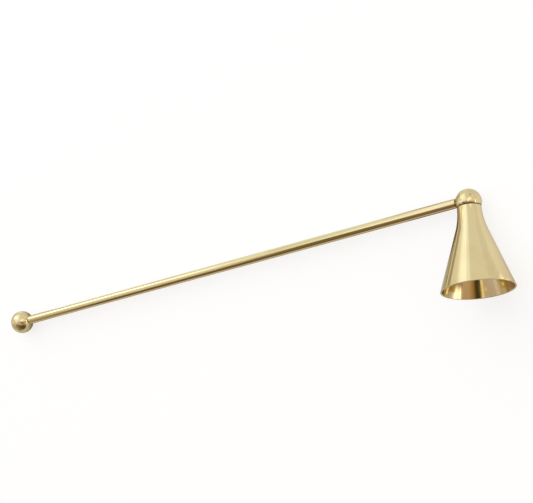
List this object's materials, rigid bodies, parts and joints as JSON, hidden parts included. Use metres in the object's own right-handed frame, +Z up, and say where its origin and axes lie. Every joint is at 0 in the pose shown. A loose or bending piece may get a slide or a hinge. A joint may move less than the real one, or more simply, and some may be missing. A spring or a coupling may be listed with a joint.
{
  "type": "candle snuffer",
  "caption": "Candle snuffer: a flared brass bell hung square to a long straight rod, with a ball at each end of the rod.",
  "frame": {"origin": "under the middle of the whole object's box, on the table that it lies on", "axes": "+X along the rod towards the bell, +Z up from the table, the bell's mouth towards -Y and a little up"},
  "size_m": [0.298, 0.0508, 0.0328],
  "materials": {
    "bell_brass": "polished",
    "ball_brass": "polished",
    "rod_brass": "polished",
    "screw_brass": "turned",
    "washer_steel": "zinc plated"
  },
  "bodies": {
    "root": {"bell": "bell_brass", "head_ball": "ball_brass", "handle_rod": "rod_brass", "end_ball": "ball_brass", "bell_screw": "screw_brass", "lock_washer": "washer_steel"}
  },
  "joints": []
}
